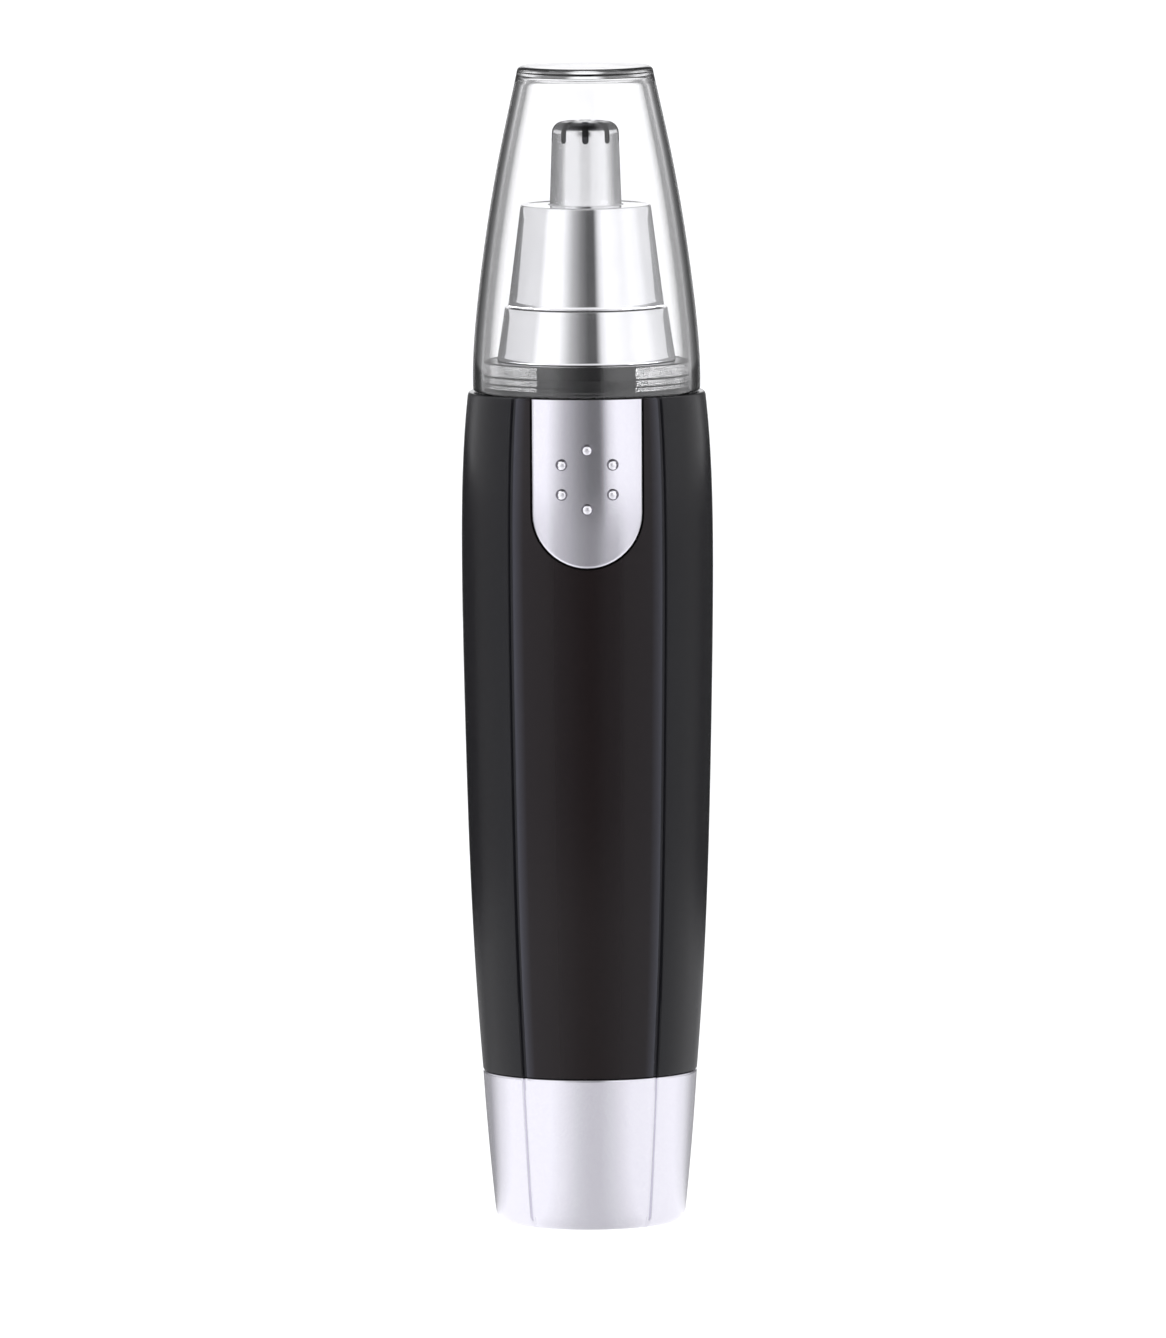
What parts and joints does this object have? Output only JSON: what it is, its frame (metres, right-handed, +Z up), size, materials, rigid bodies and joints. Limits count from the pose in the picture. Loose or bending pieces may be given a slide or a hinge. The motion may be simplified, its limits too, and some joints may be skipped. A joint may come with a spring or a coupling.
{
  "type": "nose hair trimmer",
  "caption": "Slim battery nose hair trimmer: black barrel, silver slide switch and battery cover, chrome head with rotary cutter, clear cap.",
  "frame": {"origin": "centre of the flat bottom of the battery cover", "axes": "+Z up the trimmer towards the cap's top, -Y towards the thumb switch, +X to the right seen from the switch side"},
  "size_m": [0.0282, 0.0286, 0.13],
  "materials": {
    "barrel_black": "satin",
    "silver_paint": "satin metallic",
    "chrome_plate": "polished",
    "clear_cap": "clear plastic",
    "black_plastic": "fine",
    "frame_plastic": "fine",
    "white_plastic": "fine",
    "stainless": "brushed",
    "motor_steel": "zinc plated",
    "spring_steel": "nickel plated",
    "screw_steel": "plain",
    "shaft_steel": "ground",
    "core_steel": "laminated",
    "magnet_ferrite": "matt",
    "copper": "enamelled wire",
    "contact_brass": "plain",
    "bush_bronze": "sintered",
    "board_phenolic": "plain",
    "seal_rubber": "matt",
    "cell_wrap": "gloss",
    "cell_steel": "plain"
  },
  "bodies": {
    "housing": {"body_shell": "barrel_black", "inner_frame": "frame_plastic", "motor_retainer": "white_plastic", "retainer_screws": "screw_steel", "neck_collar": "black_plastic", "collar_o_ring": "seal_rubber", "head_base_ring": "chrome_plate", "motor_can": "motor_steel", "motor_end_cap": "white_plastic", "motor_bushes": "bush_bronze", "motor_magnets": "magnet_ferrite", "motor_terminals": "contact_brass", "motor_brushes": "contact_brass", "positive_contact": "spring_steel", "supply_strip": "contact_brass", "switch_lead": "contact_brass", "switch_board": "board_phenolic"},
    "rotor": {"motor_shaft": "shaft_steel", "motor_armature": "core_steel", "motor_windings": "copper", "commutator_sleeve": "white_plastic", "motor_commutator": "copper", "drive_coupler": "white_plastic"},
    "switch": {"switch_plate": "silver_paint", "switch_carrier": "black_plastic", "switch_contact": "contact_brass"},
    "cutter_head": {"head_cone": "chrome_plate", "head_body": "black_plastic", "spindle_bush": "bush_bronze", "spindle_spring": "spring_steel", "outer_blade": "stainless"},
    "blade": {"inner_blade": "stainless", "blade_spindle": "white_plastic", "drive_socket": "white_plastic"},
    "cap": {"protective_cap": "clear_cap"},
    "cover": {"battery_cover": "silver_paint", "cover_insert": "black_plastic", "cover_o_ring": "seal_rubber", "cover_contact": "spring_steel", "battery_spring": "spring_steel"},
    "battery": {"battery_cell": "cell_wrap", "battery_positive_cap": "cell_steel"}
  },
  "joints": [
    {"name": "motor_spin", "type": "hinge", "parent": "housing", "child": "rotor", "pos_m": [0, 0, 0.077], "axis": [0, 0, 1], "continuous": true},
    {"name": "switch_slide", "type": "slide", "parent": "housing", "child": "switch", "axis": [0, 0, 1], "range_m": [0, 0.003]},
    {"name": "head_lift", "type": "slide", "parent": "housing", "child": "cutter_head", "axis": [0, 0, 1], "range_m": [0, 0.02]},
    {"name": "blade_spin", "type": "hinge", "parent": "cutter_head", "child": "blade", "pos_m": [0, 0, 0.11], "axis": [0, 0, 1], "continuous": true},
    {"name": "cap_pull", "type": "slide", "parent": "cutter_head", "child": "cap", "axis": [0, 0, 1], "range_m": [0, 0.04]},
    {"name": "cover_pull", "type": "slide", "parent": "housing", "child": "cover", "axis": [0, 0, -1], "range_m": [0, 0.075]},
    {"name": "battery_slide", "type": "slide", "parent": "housing", "child": "battery", "axis": [0, 0, -1], "range_m": [0, 0.0565]}
  ],
  "couplings": [
    {"joint": "blade_spin", "follows": "motor_spin", "ratio": 1},
    {"joint": "battery_slide", "follows": "cover_pull", "ratio": 0.75}
  ]
}
